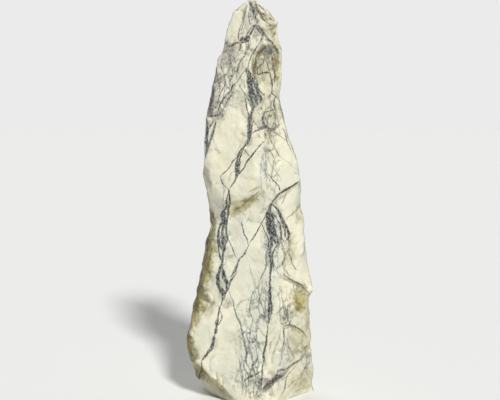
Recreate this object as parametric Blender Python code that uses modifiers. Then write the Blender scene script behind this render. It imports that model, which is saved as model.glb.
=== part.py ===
"""A rough marble monolith: one tall, tapering block, split from its bed and stood on a sawn foot.

The stone is worked as a mason works it. A blank is sawn to a front outline and a side outline,
flat splits take its corners off, hammer blows leave shallow hollows along the edges, the
weathered skin is roughened, and the foot is sawn level last.
Metres, +Z up, +X to the right of the front, the front faces -Y.
"""

import math
import random

import bmesh
import bpy
from mathutils import Euler, Matrix, Vector
from mathutils.bvhtree import BVHTree

# Driving sizes of the finished stone
HEIGHT = 1.600
WIDTH = 0.512
DEPTH = 0.356

# How far the blank runs past the finished foot, for the last saw cut to take off
FOOT_WASTE = 0.030

# Front outline, as (height, distance left or right of the middle), from the foot to the tip
LEFT_EDGE = [
    (-FOOT_WASTE, 0.140), (0.000, 0.160), (0.036, 0.198), (0.076, 0.226), (0.126, 0.238),
    (0.172, 0.246), (0.214, 0.260), (0.256, 0.256), (0.304, 0.240), (0.360, 0.236),
    (0.414, 0.226), (0.470, 0.210), (0.530, 0.198), (0.612, 0.188), (0.672, 0.173),
    (0.790, 0.172), (0.868, 0.188), (0.926, 0.190), (0.980, 0.180), (1.060, 0.180),
    (1.138, 0.174), (1.210, 0.160), (1.268, 0.149), (1.324, 0.136), (1.366, 0.129),
    (1.404, 0.113), (1.446, 0.104), (1.502, 0.088), (1.548, 0.070), (1.568, 0.044),
    (1.584, 0.014), (HEIGHT, 0.002),
]
RIGHT_EDGE = [
    (-FOOT_WASTE, 0.262), (0.044, 0.260), (0.120, 0.251), (0.186, 0.247), (0.212, 0.239),
    (0.252, 0.242), (0.324, 0.236), (0.384, 0.234), (0.418, 0.250), (0.548, 0.226),
    (0.620, 0.220), (0.732, 0.208), (0.812, 0.196), (0.876, 0.199), (0.936, 0.188),
    (1.004, 0.169), (1.052, 0.146), (1.124, 0.129), (1.204, 0.112), (1.262, 0.117),
    (1.396, 0.122), (1.452, 0.113), (1.502, 0.112), (1.540, 0.078), (1.572, 0.040),
    (HEIGHT, 0.014),
]

# Side outline, as (height, distance in front of or behind the middle)
FRONT_EDGE = [
    (-FOOT_WASTE, 0.164), (0.080, 0.176), (0.260, 0.178), (0.700, 0.158), (0.790, 0.166),
    (0.862, 0.176), (1.000, 0.160), (1.200, 0.124), (1.400, 0.086), (1.520, 0.060),
    (1.580, 0.034), (HEIGHT + 0.010, 0.012),
]
BACK_EDGE = [
    (-FOOT_WASTE, 0.164), (0.090, 0.174), (0.300, 0.178), (0.560, 0.164), (0.820, 0.150),
    (1.020, 0.122), (1.210, 0.104), (1.400, 0.074), (1.530, 0.050), (HEIGHT + 0.010, 0.020),
]

# Flat splits, as three points that the split face passes through and the reach of the blow.
# Each face looks away from the stone's middle line.
FLAT_SPLITS = {
    # front left, from the foot up
    "foot_undercut": (((-0.188, -0.160, 0.146), (-0.056, -0.180, 0.020), (-0.246, 0.000, 0.066)), 0.24),
    "foot_left_face": (((-0.200, -0.150, 0.330), (-0.188, -0.158, 0.150), (-0.045, -0.180, 0.120)), 0.20),
    "bulge_left": (((-0.212, -0.158, 0.160), (-0.260, -0.070, 0.180), (-0.240, -0.146, 0.300)), 0.12),
    "flank_left": (((-0.146, -0.154, 0.610), (-0.196, -0.030, 0.600), (-0.186, -0.158, 0.400)), 0.20),
    "front_middle": (((-0.150, -0.152, 0.440), (0.080, -0.170, 0.440), (-0.040, -0.150, 0.700)), 0.24),
    "shoulder_underside": (((-0.112, -0.156, 0.895), (-0.084, -0.164, 0.838), (-0.172, -0.080, 0.790)), 0.13),
    "cheek_left": (((0.040, -0.180, 0.880), (-0.184, -0.104, 0.950), (-0.010, -0.142, 1.160)), 0.27),
    "upper_left": (((0.000, -0.128, 1.200), (-0.155, -0.072, 1.220), (0.000, -0.088, 1.420)), 0.20),
    "tip_left": (((-0.010, -0.078, 1.440), (-0.104, -0.034, 1.440), (-0.010, -0.046, 1.560)), 0.15),
    # front right, from the foot up
    "foot_right_face": (((0.086, -0.168, 0.000), (0.238, 0.010, 0.000), (0.160, -0.130, 0.170)), 0.15),
    "flake_right": (((0.110, -0.178, 0.330), (0.232, -0.100, 0.330), (0.110, -0.176, 0.200)), 0.16),
    "middle_right": (((0.080, -0.170, 0.640), (0.208, -0.095, 0.630), (0.095, -0.173, 0.470)), 0.20),
    "hip_right": (((0.140, -0.150, 0.560), (0.222, -0.080, 0.520), (0.150, -0.156, 0.440)), 0.10),
    "cheek_right": (((0.045, -0.178, 0.850), (0.192, -0.086, 0.870), (0.045, -0.149, 1.060)), 0.22),
    "upper_right": (((0.034, -0.130, 1.160), (0.120, -0.080, 1.200), (0.058, -0.090, 1.400)), 0.18),
    "tip_right": (((0.040, -0.074, 1.460), (0.112, -0.020, 1.480), (0.036, -0.044, 1.570)), 0.12),
    # back, from the foot up
    "back_foot_left": (((-0.120, 0.178, 0.120), (-0.246, 0.030, 0.140), (-0.110, 0.170, 0.400)), 0.30),
    "back_hip_left": (((-0.080, 0.166, 0.470), (-0.210, 0.060, 0.500), (-0.100, 0.150, 0.680)), 0.20),
    "back_middle_left": (((-0.040, 0.146, 0.820), (-0.180, 0.000, 0.860), (-0.060, 0.118, 1.000)), 0.24),
    "back_upper_left": (((-0.050, 0.104, 1.160), (-0.168, -0.010, 1.160), (-0.030, 0.066, 1.420)), 0.24),
    "back_foot_right": (((0.110, 0.178, 0.060), (0.246, 0.060, 0.060), (0.100, 0.174, 0.260)), 0.24),
    "back_hip_right": (((0.070, 0.172, 0.420), (0.222, 0.000, 0.440), (0.060, 0.150, 0.640)), 0.26),
    "back_middle_right": (((0.060, 0.142, 0.800), (0.192, 0.040, 0.800), (0.050, 0.112, 1.040)), 0.24),
    "back_upper_right": (((0.036, 0.106, 1.180), (0.122, 0.004, 1.220), (0.048, 0.068, 1.440)), 0.24),
    "back_face_low": (((-0.090, 0.166, 0.300), (0.080, 0.176, 0.260), (-0.010, 0.160, 0.560)), 0.20),
    "back_face_middle": (((-0.060, 0.140, 0.700), (0.060, 0.150, 0.740), (0.000, 0.120, 0.940)), 0.16),
    "back_tip": (((-0.040, 0.058, 1.450), (0.050, 0.052, 1.450), (0.000, 0.020, 1.580)), 0.12),
}

# A split's rim flares outwards, because the stone breaks back beyond the blow
SPLIT_THICKNESS = 0.240
SPLIT_FLARE = 2.40
SPLIT_SIDES = 7

# Ledges: the stone below the line from left to right has sheared off in a slab. The three points
# are the two inner corners of the ledge and a point low on the sheared face. Then come the run
# below the ledge, and how steeply its underside rises as it comes forward.
LEDGES = {
    "middle": (((-0.112, -0.098, 0.716), (0.046, -0.172, 0.836), (-0.080, -0.150, 0.580)), 0.26, 0.80),
    "cheek_crack": (((0.086, -0.138, 0.798), (0.214, -0.064, 0.888), (0.170, -0.112, 0.700)), 0.16, 0.90),
    "hip_crack": (((0.116, -0.144, 0.524), (0.206, -0.094, 0.452), (0.184, -0.120, 0.400)), 0.08, 0.90),
    "foot_notch": (((0.100, -0.154, 0.092), (0.232, -0.070, 0.212), (0.190, -0.090, 0.080)), 0.13, 0.90),
    "foot_front": (((-0.052, -0.166, 0.066), (0.054, -0.166, 0.116), (0.020, -0.164, 0.020)), 0.12, 0.90),
    "back_shelf": (((0.090, 0.130, 0.560), (-0.080, 0.140, 0.640), (0.010, 0.154, 0.460)), 0.18, 1.80),
    "back_shelf_high": (((0.080, 0.090, 1.080), (-0.090, 0.096, 1.020), (-0.010, 0.116, 0.940)), 0.12, 2.20),
}

# Hammer hollows, as the height and the bearing of the blow, the hollow's radius and its depth.
# Bearing 0 is the front, 90 the right side, 180 the back and 270 the left side, in degrees.
HOLLOWS = {
    "waist_left": (0.740, 292, 0.100, 0.012),
    "flank_left_low": (0.430, 278, 0.060, 0.009),
    "flank_left_high": (0.570, 276, 0.080, 0.008),
    "side_left_foot": (0.160, 240, 0.100, 0.007),
    "side_left_middle": (0.600, 246, 0.120, 0.012),
    "side_left_high": (0.960, 250, 0.110, 0.011),
    "side_left_top": (1.240, 252, 0.090, 0.009),
    "cheek_left": (1.000, 330, 0.120, 0.008),
    "cheek_left_low": (0.910, 310, 0.070, 0.007),
    "cheek_right": (0.930, 35, 0.090, 0.007),
    "crown_left": (1.490, 335, 0.050, 0.006),
    "crown_right": (1.520, 35, 0.030, 0.005),
    "crown_notch": (1.458, 50, 0.026, 0.004),
    "front_middle": (0.640, 352, 0.120, 0.006),
    "front_low": (0.420, 10, 0.110, 0.006),
    "front_foot_left": (0.220, 332, 0.120, 0.007),
    "flake_inner": (0.190, 18, 0.070, 0.009),
    "flake_outer": (0.250, 30, 0.060, 0.008),
    "hip_right": (0.600, 44, 0.070, 0.005),
    "side_right_foot": (0.150, 108, 0.080, 0.009),
    "side_right_low": (0.340, 112, 0.110, 0.011),
    "side_right_middle": (0.660, 112, 0.120, 0.012),
    "side_right_high": (0.960, 112, 0.100, 0.010),
    "side_right_top": (1.300, 112, 0.070, 0.007),
    "back_foot": (0.120, 190, 0.130, 0.014),
    "back_low": (0.380, 176, 0.120, 0.012),
    "back_low_left": (0.300, 220, 0.120, 0.013),
    "back_low_right": (0.540, 148, 0.110, 0.013),
    "back_middle": (0.760, 186, 0.120, 0.012),
    "back_middle_left": (0.860, 216, 0.100, 0.012),
    "back_top": (1.370, 200, 0.056, 0.004),
}

# How finely a hollow's ball is faceted: about ten flat facets to a hollow, as in broken marble
BALL_FACETS = 4

# Small chips along the arrises, where the hammer and the weather have broken the sharp edges
CHIP_SEED = 7
CHIP_HEIGHTS = (0.050, 1.520)
CHIP_SPACING = 0.058
CHIP_DRIFT = 0.024
CHIP_CHANCE = 0.50
CHIP_REACH = (0.016, 0.058)
CHIP_BITE = (0.002, 0.009)
CHIP_TILT = 0.38
CHIP_SIDES = 6
BEARING_STEP = 6
ARRIS_STANDS_OUT = 0.0038

# The veined front keeps clean arrises: no chips this many degrees to either side of it
CLEAN_FRONT = 40

# Skin of the stone: the size of one flake, how far it stands out, and the finer roughness
SKIN_VOXEL = 0.009
FLAKE_SIZE = 0.075
FLAKE_RELIEF = 0.006
GRIT_SIZE = 0.022
GRIT_RELIEF = 0.003
KEPT_TRIANGLES = 0.155

MARBLE_COLOUR = (0.83, 0.80, 0.66, 1.0)
MARBLE_ROUGHNESS = 0.62


def clear_scene():
    for old in list(bpy.data.objects):
        bpy.data.objects.remove(old)


def new_collection(name):
    collection = bpy.data.collections.new(name)
    bpy.context.scene.collection.children.link(collection)
    return collection


def move_to(obj, collection):
    for old in list(obj.users_collection):
        old.objects.unlink(obj)
    collection.objects.link(obj)


def keep_as_cutter(obj, collection):
    move_to(obj, collection)
    obj.hide_render = True
    obj.display_type = "WIRE"


def marble_material():
    material = bpy.data.materials.new("veined_marble")
    material.use_nodes = True
    shader = material.node_tree.nodes["Principled BSDF"]
    shader.inputs["Base Color"].default_value = MARBLE_COLOUR
    shader.inputs["Roughness"].default_value = MARBLE_ROUGHNESS
    shader.inputs["Metallic"].default_value = 0.0
    return material


def sawn_slab(name, outline, thickness, turn):
    """A flat outline, sawn through at this thickness and turned upright, as a closed mesh."""
    curve = bpy.data.curves.new(name, "CURVE")
    curve.dimensions = "2D"
    curve.fill_mode = "BOTH"
    curve.extrude = thickness / 2
    spline = curve.splines.new("POLY")
    spline.points.add(len(outline) - 1)
    for point, (across, up) in zip(spline.points, outline):
        point.co = (across, up, 0.0, 1.0)
    spline.use_cyclic_u = True
    flat = bpy.data.objects.new(name + "_curve", curve)
    bpy.context.scene.collection.objects.link(flat)
    bpy.context.view_layer.update()
    graph = bpy.context.evaluated_depsgraph_get()
    mesh = bpy.data.meshes.new_from_object(flat.evaluated_get(graph))
    bpy.data.objects.remove(flat)
    mesh.transform(Euler(turn).to_matrix().to_4x4())
    work = bmesh.new()
    work.from_mesh(mesh)
    bmesh.ops.remove_doubles(work, verts=work.verts, dist=0.0001)
    bmesh.ops.recalc_face_normals(work, faces=work.faces)
    work.to_mesh(mesh)
    work.free()
    slab = bpy.data.objects.new(name, mesh)
    bpy.context.scene.collection.objects.link(slab)
    return slab


def ring(low_side, high_side):
    """Two edges that run up the stone, joined into one loop: down the first, up the second."""
    down = [(-across, up) for up, across in reversed(low_side)]
    return down + [(across, up) for up, across in high_side]


def split_plane(points):
    """The middle of three points and the outward normal of the plane through them."""
    a, b, c = (Vector(point) for point in points)
    middle = (a + b + c) / 3
    normal = (b - a).cross(c - a).normalized()
    if normal.dot(Vector((middle.x, middle.y, 0.0))) < 0:
        normal.negate()
    return middle, normal


def wedge_of_waste(name, middle, facing, reach, sides, thickness):
    """A many-sided wedge whose inner face lies on the split."""
    bpy.ops.mesh.primitive_cone_add(
        vertices=sides,
        radius1=reach,
        radius2=reach * SPLIT_FLARE,
        depth=thickness,
        location=middle + facing * thickness / 2,
        rotation=facing.to_track_quat("Z", "Y").to_euler(),
    )
    waste = bpy.context.active_object
    waste.name = name
    return waste


def ledge_slab(name, points, run, rise):
    """A slab of waste: its inner face lies on the sheared face and its top edge on the ledge."""
    left, right, _ = (Vector(point) for point in points)
    _, facing = split_plane(points)
    along = (right - left).normalized()
    down = along.cross(facing)
    if down.z > 0:
        down.negate()
    centre = (left + right) / 2 + down * run / 2 + facing * SPLIT_THICKNESS / 2
    bpy.ops.mesh.primitive_cube_add(size=1.0)
    waste = bpy.context.active_object
    waste.name = name
    axes = Matrix((along, down, along.cross(down))).transposed().to_4x4()
    size = Matrix.Diagonal(((right - left).length, run, SPLIT_THICKNESS, 1.0))
    waste.data.transform(Matrix.Translation(centre) @ axes @ size)
    for corner in waste.data.vertices:
        proud = facing.dot(corner.co - centre)
        if proud > 0 and down.dot(corner.co - centre) < 0:
            corner.co -= down * SPLIT_THICKNESS * rise
    return waste


def hammer_hollow(name, hit, normal, radius, depth):
    """A large ball that dips into the surface: a shallow round hollow of this radius."""
    ball = (radius * radius + depth * depth) / (2 * depth)
    bpy.ops.mesh.primitive_ico_sphere_add(
        subdivisions=BALL_FACETS, radius=ball, location=hit + normal * (ball - depth)
    )
    waste = bpy.context.active_object
    waste.name = name
    return waste


def where_it_lands(surface, height, bearing):
    """Where a level blow from this bearing lands: the point on the stone and its normal."""
    angle = math.radians(bearing)
    outwards = Vector((math.sin(angle), -math.cos(angle), 0.0))
    start = Vector((0.0, 0.0, height)) + outwards * (WIDTH + DEPTH)
    hit, normal, _, _ = surface.ray_cast(start, -outwards)
    return hit, normal


def surface_now(stone):
    """The stone as it is carved so far, for aiming the next blows."""
    bpy.context.view_layer.update()
    return BVHTree.FromObject(stone, bpy.context.evaluated_depsgraph_get())


def chip_arrises(surface, collection):
    """Goes up the stone, finds each arris as a bearing where the stone stands out, and chips it."""
    luck = random.Random(CHIP_SEED)
    bearings = range(0, 360, BEARING_STEP)
    low, high = CHIP_HEIGHTS
    for level in range(int((high - low) / CHIP_SPACING)):
        height = low + level * CHIP_SPACING + luck.uniform(0, CHIP_SPACING / 2)
        hits = [where_it_lands(surface, height, bearing) for bearing in bearings]
        for n, (hit, _) in enumerate(hits):
            if min(bearings[n], 360 - bearings[n]) < CLEAN_FRONT:
                continue
            before, after = hits[n - 1], hits[(n + 1) % len(hits)]
            chord = (before[0] + after[0]) / 2
            stands_out = hit.xy.length - chord.xy.length
            if stands_out < ARRIS_STANDS_OUT or luck.random() > CHIP_CHANCE:
                continue
            facing = (before[1] + after[1]).normalized()
            facing += Vector([luck.uniform(-CHIP_TILT, CHIP_TILT) for _ in range(3)])
            facing.normalize()
            blow = hit + Vector((0.0, 0.0, luck.uniform(-CHIP_DRIFT, CHIP_DRIFT)))
            bite = luck.uniform(*CHIP_BITE)
            reach = luck.uniform(*CHIP_REACH)
            waste = wedge_of_waste(
                f"chip_{level:02d}_{n:02d}", blow - facing * bite, facing, reach, CHIP_SIDES, reach
            )
            keep_as_cutter(waste, collection)


def noise(name, kind, size):
    texture = bpy.data.textures.new(name, kind)
    texture.noise_scale = size
    return texture


def carve(stone, name, operation, **operand):
    """Cuts the stone with an object or a collection, and keeps the result."""
    cut = stone.modifiers.new(name, "BOOLEAN")
    cut.operation = operation
    cut.solver = "EXACT"
    for key, value in operand.items():
        setattr(cut, key, value)
    bpy.context.view_layer.objects.active = stone
    bpy.ops.object.modifier_apply(modifier=name)


def roughen(stone, name, texture, relief):
    skin = stone.modifiers.new(name, "DISPLACE")
    skin.texture = texture
    skin.texture_coords = "LOCAL"
    skin.direction = "NORMAL"
    skin.mid_level = 0.5
    skin.strength = relief


def centre_over_origin(stone):
    """Moves the finished stone sideways until its bounding box stands over the origin."""
    bpy.context.view_layer.update()
    skin = stone.evaluated_get(bpy.context.evaluated_depsgraph_get()).data
    for axis in (0, 1):
        places = [vertex.co[axis] for vertex in skin.vertices]
        stone.location[axis] = -(min(places) + max(places)) / 2


def build():
    clear_scene()
    finished = new_collection("marble_monolith")
    cutters = new_collection("cutters")
    splits = new_collection("splits")
    hollows = new_collection("hollows")
    chips = new_collection("chips")

    front_on = (math.pi / 2, 0.0, 0.0)
    side_on = (math.pi / 2, 0.0, math.pi / 2)
    stone = sawn_slab("marble_block", ring(LEFT_EDGE, RIGHT_EDGE), DEPTH * 1.5, front_on)
    side = sawn_slab("side_outline", ring(FRONT_EDGE, BACK_EDGE), WIDTH * 1.5, side_on)
    keep_as_cutter(side, cutters)
    carve(stone, "side_outline", "INTERSECT", object=side)

    for name, (points, reach) in FLAT_SPLITS.items():
        middle, facing = split_plane(points)
        waste = wedge_of_waste("split_" + name, middle, facing, reach, SPLIT_SIDES, SPLIT_THICKNESS)
        keep_as_cutter(waste, splits)
    for name, (points, run, rise) in LEDGES.items():
        keep_as_cutter(ledge_slab("ledge_" + name, points, run, rise), splits)
    carve(stone, "splits", "DIFFERENCE", operand_type="COLLECTION", collection=splits)

    surface = surface_now(stone)
    for name, (height, bearing, radius, depth) in HOLLOWS.items():
        hit, normal = where_it_lands(surface, height, bearing)
        keep_as_cutter(hammer_hollow("hollow_" + name, hit, normal, radius, depth), hollows)
    carve(stone, "hollows", "DIFFERENCE", operand_type="COLLECTION", collection=hollows)

    chip_arrises(surface_now(stone), chips)
    carve(stone, "chips", "DIFFERENCE", operand_type="COLLECTION", collection=chips)

    bpy.ops.mesh.primitive_cube_add(size=1.0, location=(0.0, 0.0, -0.5))
    saw = bpy.context.active_object
    saw.name = "foot_saw_cut"
    keep_as_cutter(saw, cutters)

    remesh = stone.modifiers.new("even_skin", "REMESH")
    remesh.mode = "VOXEL"
    remesh.voxel_size = SKIN_VOXEL
    roughen(stone, "flakes", noise("flakes", "VORONOI", FLAKE_SIZE), FLAKE_RELIEF)
    roughen(stone, "grit", noise("grit", "CLOUDS", GRIT_SIZE), GRIT_RELIEF)
    thin = stone.modifiers.new("fewer_faces", "DECIMATE")
    thin.ratio = KEPT_TRIANGLES
    foot = stone.modifiers.new("sawn_foot", "BOOLEAN")
    foot.operation = "DIFFERENCE"
    foot.solver = "EXACT"
    foot.object = saw

    stone.data.materials.append(marble_material())
    move_to(stone, finished)
    centre_over_origin(stone)


build()
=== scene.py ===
"""Looks of a rough marble monolith: one split block of cream marble with slate-dark braided veins."""

import math

import bpy
import mathutils.noise
import numpy as np
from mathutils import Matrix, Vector
from mathutils.bvhtree import BVHTree


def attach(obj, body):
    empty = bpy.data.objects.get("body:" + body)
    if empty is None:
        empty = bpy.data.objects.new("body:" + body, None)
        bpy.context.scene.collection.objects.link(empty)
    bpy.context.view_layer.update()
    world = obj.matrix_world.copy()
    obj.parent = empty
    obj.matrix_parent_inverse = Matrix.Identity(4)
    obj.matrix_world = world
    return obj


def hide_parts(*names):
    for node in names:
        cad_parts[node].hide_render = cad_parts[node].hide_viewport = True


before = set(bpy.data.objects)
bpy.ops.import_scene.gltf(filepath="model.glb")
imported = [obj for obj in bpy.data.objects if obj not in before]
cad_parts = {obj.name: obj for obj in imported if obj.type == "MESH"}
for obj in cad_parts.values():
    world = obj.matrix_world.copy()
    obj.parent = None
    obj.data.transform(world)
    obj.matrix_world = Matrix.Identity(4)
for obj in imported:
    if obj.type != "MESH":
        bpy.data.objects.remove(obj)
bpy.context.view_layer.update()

# Camera
# The photo is taken from a few paces in front of the stone, at about the height of a person's
# chest, so the eye looks down on the foot by a few degrees. The lens keeps upright edges upright.
IMAGE_WIDTH = 500
IMAGE_HEIGHT = 400
SENSOR_WIDTH = 36.0
CAMERA_DISTANCE = 4.0
CAMERA_LOOKS_DOWN = math.radians(6.0)
CAMERA_TARGET = Vector((-0.004, 0.0, 0.797))
STONE_IN_VIEW = 0.806

camera_data = bpy.data.cameras.new("camera")
camera_data.sensor_width = SENSOR_WIDTH
camera_data.lens = SENSOR_WIDTH * IMAGE_HEIGHT / IMAGE_WIDTH / 2 * CAMERA_DISTANCE / STONE_IN_VIEW
camera = bpy.data.objects.new("camera", camera_data)
bpy.context.scene.collection.objects.link(camera)
bpy.context.scene.camera = camera
towards_camera = Vector((0.0, -math.cos(CAMERA_LOOKS_DOWN), math.sin(CAMERA_LOOKS_DOWN)))
camera.location = CAMERA_TARGET + towards_camera * CAMERA_DISTANCE
camera.rotation_euler = towards_camera.to_track_quat("Z", "Y").to_euler()
bpy.context.view_layer.update()


# Marble block
# One piece of metamorphic limestone, split from its bed with hammer and wedge and stood on end.
# The splits leave broad shell-like faces with sharp arrises, small chips along the arrises and a
# sugary broken skin. Its foot is sawn level.
SKIN_VOXEL = 0.0050
MERGE_DISTANCE = 0.0002
SMOOTH_PASSES = 1
SHARP_ARRIS = math.radians(38)
FOOT_CLEARANCE = 0.0002

# Relief of the broken skin: texture kind, grain size and height, from broad shells to grit
BROKEN_SKIN = {
    "broad_shells": ("CLOUDS", 0.120, 0.004),
    "split_facets": ("VORONOI", 0.075, 0.0020),
    "small_facets": ("VORONOI", 0.030, 0.0016),
    "rough_grit": ("CLOUDS", 0.012, 0.0018),
}

cad_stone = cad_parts["marble_block"]
bpy.ops.object.select_all(action="DESELECT")
cad_stone.select_set(True)
bpy.context.view_layer.objects.active = cad_stone
bpy.ops.object.duplicate()
stone = bpy.context.active_object
stone.name = "split_marble_block"
bpy.ops.object.mode_set(mode="EDIT")
bpy.ops.mesh.select_all(action="SELECT")
bpy.ops.mesh.remove_doubles(threshold=MERGE_DISTANCE)
bpy.ops.mesh.normals_make_consistent(inside=False)
bpy.ops.object.mode_set(mode="OBJECT")


def shape_with(obj, name, kind, **settings):
    """Adds a modifier with these settings and applies it."""
    modifier = obj.modifiers.new(name, kind)
    for key, value in settings.items():
        setattr(modifier, key, value)
    bpy.ops.object.modifier_apply(modifier=modifier.name)


shape_with(stone, "even_skin", "REMESH", mode="VOXEL", voxel_size=SKIN_VOXEL)
shape_with(stone, "weathering", "SMOOTH", factor=0.5, iterations=SMOOTH_PASSES)
for relief_name, (texture_kind, grain, height) in BROKEN_SKIN.items():
    grain_texture = bpy.data.textures.new(relief_name, texture_kind)
    grain_texture.noise_scale = grain
    shape_with(
        stone, relief_name, "DISPLACE", texture=grain_texture, texture_coords="LOCAL",
        direction="NORMAL", mid_level=0.5, strength=height,
    )

# The foot is sawn: everything below the saw's line goes, and the cut is closed flat
bpy.ops.object.mode_set(mode="EDIT")
bpy.ops.mesh.select_all(action="SELECT")
bpy.ops.mesh.bisect(
    plane_co=(0.0, 0.0, FOOT_CLEARANCE), plane_no=(0.0, 0.0, 1.0), use_fill=True, clear_inner=True
)
bpy.ops.mesh.select_all(action="SELECT")
bpy.ops.mesh.delete_loose()
bpy.ops.object.mode_set(mode="OBJECT")
bpy.ops.object.shade_smooth_by_angle(angle=SHARP_ARRIS)

# Steps of the front
# Where a split runs out it leaves a step: a sharp arris, a short face that turns in, and a long
# shallow way out again. Each route is in the photo's pixels, a pixel is 4 mm on the stone, and the
# skin is set back on the right of the route. Depth, face and way out are in metres.
PIXEL = 0.00403
STEPS = [
    # middle ledge, its facet below, and the shoulder beside it
    (0.011, 0.024, 0.130, [(229, 199), (236, 199.5), (243, 198), (250, 194), (256, 190.5), (261, 187)]),
    (0.004, 0.008, 0.050, [(236, 207), (246, 215), (255, 221), (262, 220), (269, 211)]),
    (0.006, 0.010, 0.060, [(201, 167), (207, 174), (212, 183), (217, 180), (222, 177)]),
    # edge of the left flank
    (0.010, 0.014, 0.070, [(206, 212), (214, 216), (217, 222), (215, 232), (211, 242), (207, 256),
                           (203, 270), (200, 282), (197, 296), (195, 308), (192, 320)]),
    # cracks and ledges of the right side
    (0.006, 0.008, 0.050, [(270, 201), (277, 194), (284, 190), (291, 186), (301, 181)]),
    (0.007, 0.008, 0.050, [(280, 274), (290.6, 279.2), (299, 283), (307, 291), (312, 295)]),
    (0.006, 0.007, 0.040, [(281, 327), (289, 325.4), (294, 325.8), (299, 329), (303.6, 333.4), (309, 339)]),
    (0.005, 0.008, 0.040, [(284, 325), (276, 330), (270, 338), (267, 348), (266, 358), (268, 368),
                           (275, 374)]),
    (0.003, 0.005, 0.010, [(279, 331), (274, 340), (271, 350), (271, 362)]),
    (0.003, 0.005, 0.010, [(283, 334), (278, 345), (275, 354), (275, 366)]),
    (0.009, 0.010, 0.060, [(259, 394), (266, 386), (273.6, 380), (283, 375), (291.6, 365), (296.6, 362),
                           (301, 359), (303.6, 349), (310, 344)]),
    # underside of the bulge
    (0.008, 0.014, 0.040, [(186, 345), (194, 360), (200, 368), (208, 380), (216, 391), (222, 398)]),
    # crown: cleft, nose, and the leaf-shaped hollow under it
    (0.007, 0.006, 0.012, [(250, -2), (252, 8), (255, 16), (258, 26)]),
    (0.008, 0.007, 0.030, [(256, 21), (263, 26), (268, 28), (273, 27), (278, 23)]),
    (0.005, 0.004, 0.010, [(260, 12), (264, 17), (269, 19), (273, 17)]),
    (0.009, 0.008, 0.045, [(261, 92), (256.8, 80), (254.6, 74), (254, 66), (256, 57), (260, 52),
                           (268, 45)]),
    (0.006, 0.008, 0.035, [(266, 46), (271, 52), (273, 60), (274, 69), (274.4, 80), (271, 96)]),
    # cheek
    (0.006, 0.010, 0.040, [(218, 113), (216, 124), (213.5, 134), (210.5, 145), (207, 155), (203, 166)]),
    (0.005, 0.008, 0.050, [(235, 181), (237, 168), (240, 156), (246, 143), (250, 132), (250.5, 120),
                           (255, 103)]),
]
# Shell-shaped chips all round, with the same section and a bowed edge
CHIP_TRIES = 1500
CHIP_SEED = 11
CHIP_DEPTH = (0.0020, 0.0065)
CHIP_HALF_LENGTH = (0.015, 0.060)
CHIP_FACE = 0.006
CHIP_WAY_OUT = (0.015, 0.060)
CHIP_BOW = (0.03, 0.12)
# Chips sit on the arrises and seldom on a face. Over these passes a sharp arris stands out by
# this much.
ARRIS_PASSES = 30
SHARP_STANDS_OUT = 0.0060
CHANCE_ON_FACES = 0.0005
# A chip stays on the skin that looks its way: the least cosine between them
CHIP_SAME_WAY = 0.3
# Every route and chip wavers by up to this many metres, this many times in a metre
WAVER = 0.004
WAVERS_PER_METRE = 30
# A step is full where the skin faces the front by half, and a lower power makes blunter ends
STEP_FACING = 0.5
STEP_END_POWER = 0.4
# The sawn foot keeps its edge: nothing is set back below the first height, and all of it above
# the second
FOOT_KEPT = 0.004
FOOT_PASSED = 0.014

skin = BVHTree.FromObject(stone, bpy.context.evaluated_depsgraph_get())


def on_stone(pixel_x, pixel_y):
    """The point of the stone that the camera sees at this pixel, or beside it off the edge."""
    pixels_to_lens = camera_data.lens / SENSOR_WIDTH * IMAGE_WIDTH
    through = Vector((pixel_x - IMAGE_WIDTH / 2, IMAGE_HEIGHT / 2 - pixel_y, -pixels_to_lens))
    direction = (camera.matrix_world.to_3x3() @ through).normalized()
    hit = skin.ray_cast(camera.location, direction)[0]
    if hit is None:
        hit = camera.location + direction * (-camera.location.y / direction.y)
    return hit


def step_section(aside, face, way_out):
    """Nothing before the arris, one where the short face ends, and a straight way out to nothing."""
    return np.clip(aside / face, 0, 1) * np.clip(1 - (aside - face) / way_out, 0, 1)


def three_each(items, field):
    """This field of every item, as rows of three numbers."""
    numbers = np.empty(len(items) * 3)
    items.foreach_get(field, numbers)
    return numbers.reshape(-1, 3)


def spread(mesh, numbers, passes):
    """Each vertex's three numbers as a mean over its surroundings, wider with more passes."""
    count = len(mesh.vertices)
    ends = np.empty(len(mesh.edges) * 2, dtype=int)
    mesh.edges.foreach_get("vertices", ends)
    one, other = ends.reshape(-1, 2).T
    neighbours = np.bincount(ends, minlength=count)
    around = numbers.copy()
    for _ in range(passes):
        for axis in range(3):
            line = around[:, axis]
            total = np.bincount(one, line[other], count) + np.bincount(other, line[one], count)
            around[:, axis] = (line + total / neighbours) / 2
    return around


def depth_below_surroundings(mesh, passes):
    """For each vertex, how far it lies inside the mean of its surroundings, in metres."""
    places = three_each(mesh.vertices, "co")
    normals = three_each(mesh.vertex_normals, "vector")
    return ((spread(mesh, places, passes) - places) * normals).sum(axis=1)


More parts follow.
